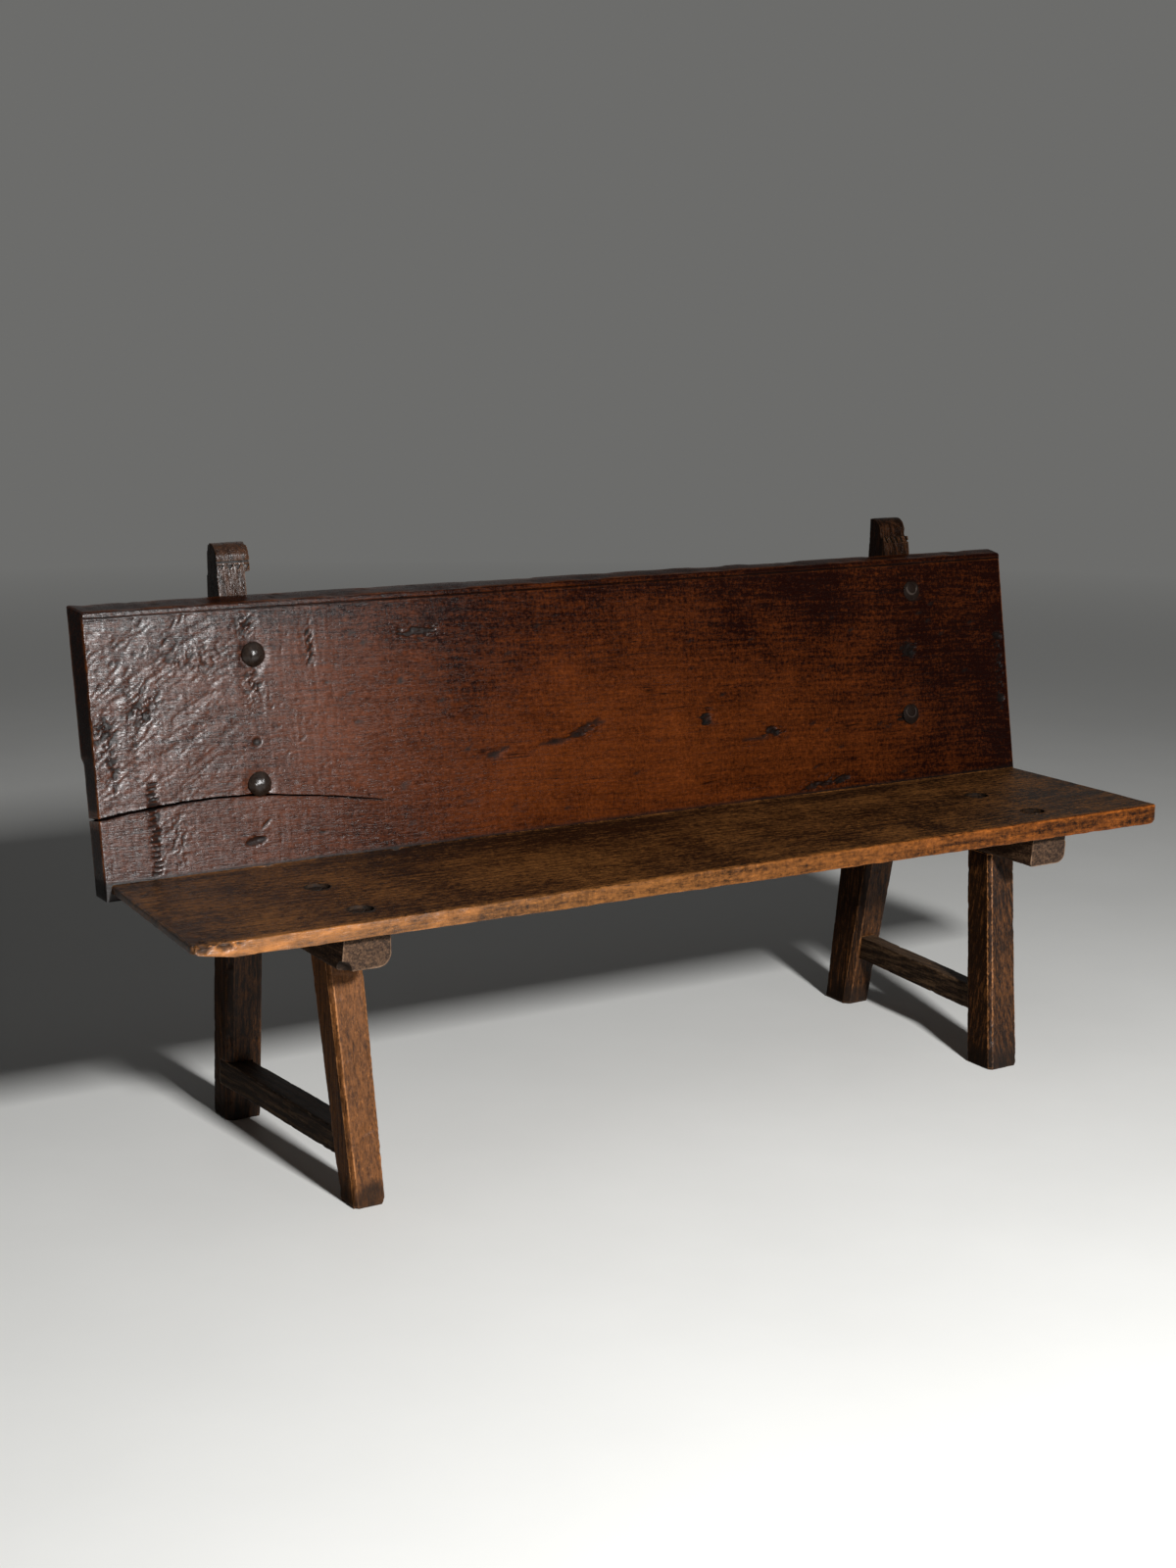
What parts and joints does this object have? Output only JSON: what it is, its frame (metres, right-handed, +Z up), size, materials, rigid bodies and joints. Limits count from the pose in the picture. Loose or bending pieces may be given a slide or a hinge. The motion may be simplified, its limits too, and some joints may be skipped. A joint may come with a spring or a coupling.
{
  "type": "bench",
  "caption": "Rustic wooden bench with a thick plank seat, a wide raked back board nailed to carved posts, and splayed trestle legs with low stretchers.",
  "frame": {"origin": "on the floor, in the middle of the bench seen from above", "axes": "+X along the seat to the right of someone facing the bench, +Y to the back, +Z up"},
  "size_m": [1.7704, 0.5572, 0.9248],
  "materials": {
    "seat_wood": "old waxed plank, worn along the front edge",
    "board_wood": "dark waxed plank, adzed at one end",
    "leg_wood": "dull brown, rubbed pale on the arrises",
    "batten_wood": "dull brown, bare end grain",
    "stretcher_wood": "grey brown, rough sawn",
    "post_wood": "dark brown, carved",
    "peg_wood": "dark end grain",
    "nail_iron": "forged, dark and rubbed smooth"
  },
  "bodies": {
    "root": {"back_board": "board_wood", "left_back_leg": "leg_wood", "left_back_leg_wedge": "peg_wood", "left_back_post": "post_wood", "left_back_seat_peg": "peg_wood", "left_batten": "batten_wood", "left_front_leg": "leg_wood", "left_front_leg_wedge": "peg_wood", "left_front_seat_peg": "peg_wood", "left_lower_nail": "nail_iron", "left_post_wedge": "peg_wood", "left_stretcher": "stretcher_wood", "left_upper_nail": "nail_iron", "right_back_leg": "leg_wood", "right_back_leg_wedge": "peg_wood", "right_back_post": "post_wood", "right_back_seat_peg": "peg_wood", "right_batten": "batten_wood", "right_front_leg": "leg_wood", "right_front_leg_wedge": "peg_wood", "right_front_seat_peg": "peg_wood", "right_lower_nail": "nail_iron", "right_post_wedge": "peg_wood", "right_stretcher": "stretcher_wood", "right_upper_nail": "nail_iron", "seat_plank": "seat_wood"}
  },
  "joints": []
}
